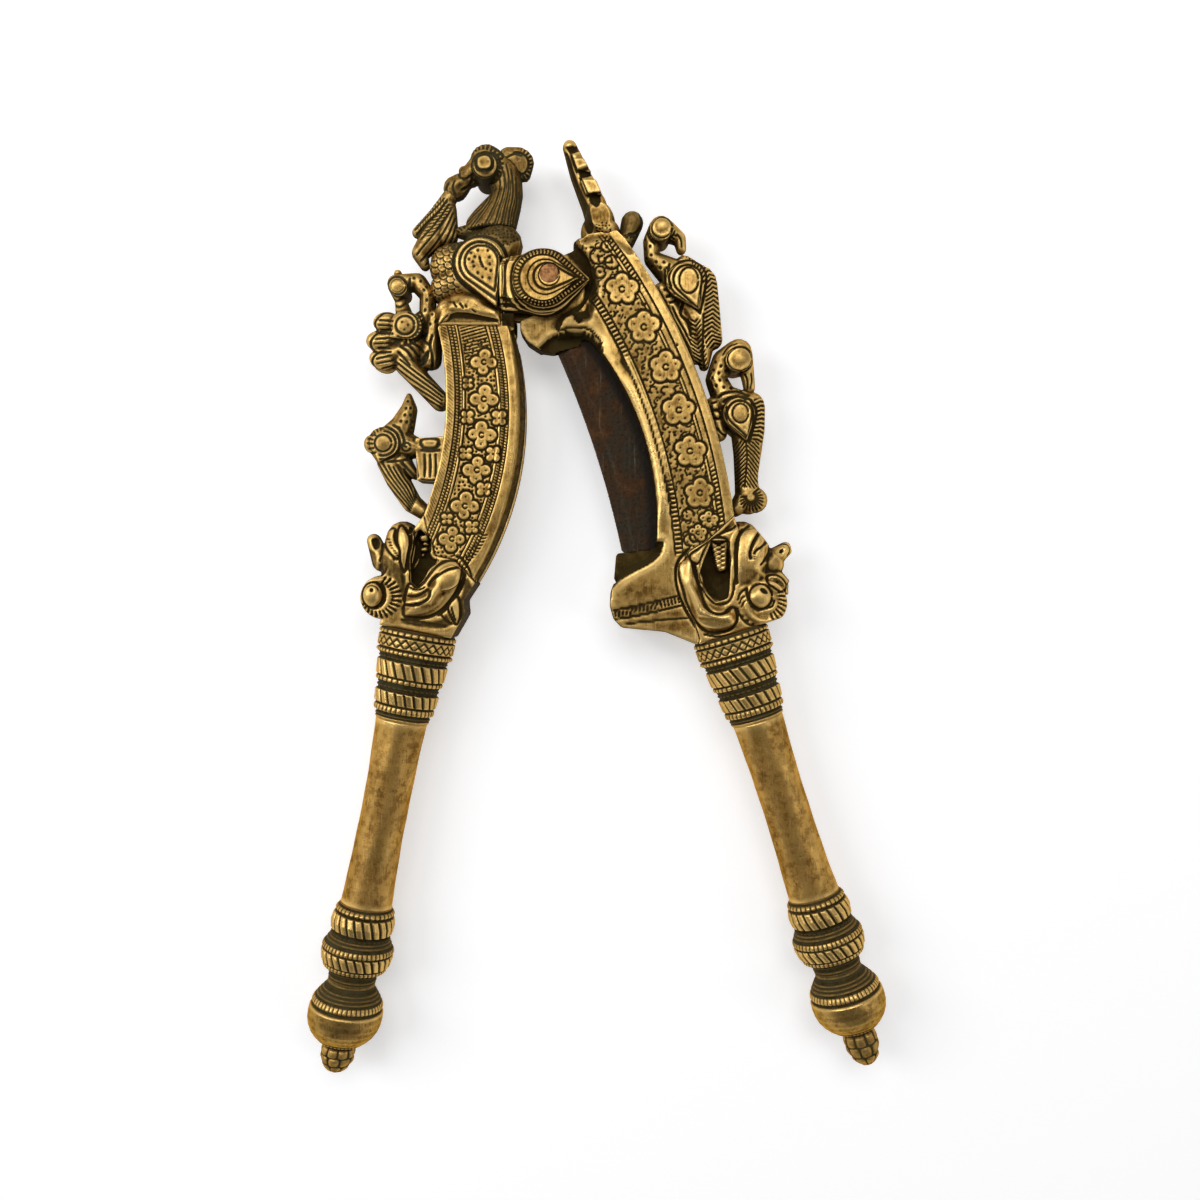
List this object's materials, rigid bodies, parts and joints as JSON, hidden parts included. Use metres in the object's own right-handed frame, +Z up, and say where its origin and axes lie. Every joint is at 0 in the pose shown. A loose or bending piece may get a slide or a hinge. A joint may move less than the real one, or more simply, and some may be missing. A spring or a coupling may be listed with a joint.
{
  "type": "betel nut cutter",
  "caption": "Hinged brass betel nut cutter with an engraved curved anvil arm, a steel blade let into the other arm, peacock and parrot ornament, and turned handles.",
  "frame": {"origin": "on the rivet's axis, at the back face of the back hinge cheek, which is the face the cutter lies on", "axes": "+Z up, out of the front face; +Y from the rivet towards the peacock's head, away from the handles; +X towards the blade arm"},
  "size_m": [0.1557, 0.2511, 0.0212],
  "materials": {
    "brass": "worn, rubbed bright on the high places, dark in the engraving",
    "dull_brass": "dull, darkened by age",
    "copper": "worn flat",
    "blade_steel": "dark, rust-stained, with a ground edge"
  },
  "bodies": {
    "anvil_arm": {"anvil_bar": "brass", "plinth": "brass", "peacock_body": "dull_brass", "peacock_head": "dull_brass", "peacock_crest": "dull_brass", "beak_spray": "dull_brass", "front_cheek": "brass", "back_cheek": "brass", "upper_left_bird": "dull_brass", "lower_left_bird": "dull_brass", "left_makara": "brass", "left_ferrule": "brass", "left_grip": "brass", "left_end_ferrule": "brass", "left_pommel": "brass", "left_finial": "brass", "pivot_rivet": "copper"},
    "blade_arm": {"blade_bar": "brass", "cutting_blade": "blade_steel", "stop_spur": "brass", "shoulder_bud": "dull_brass", "upper_right_parrot": "brass", "lower_right_parrot": "brass", "right_makara": "brass", "right_ferrule": "brass", "right_grip": "brass", "right_end_ferrule": "brass", "right_pommel": "brass", "right_finial": "brass"}
  },
  "joints": [
    {"name": "pivot", "type": "hinge", "parent": "anvil_arm", "child": "blade_arm", "pos_m": [0, 0, 0], "axis": [0, 0, 1], "range_deg": [-24.5, 13.5]}
  ]
}
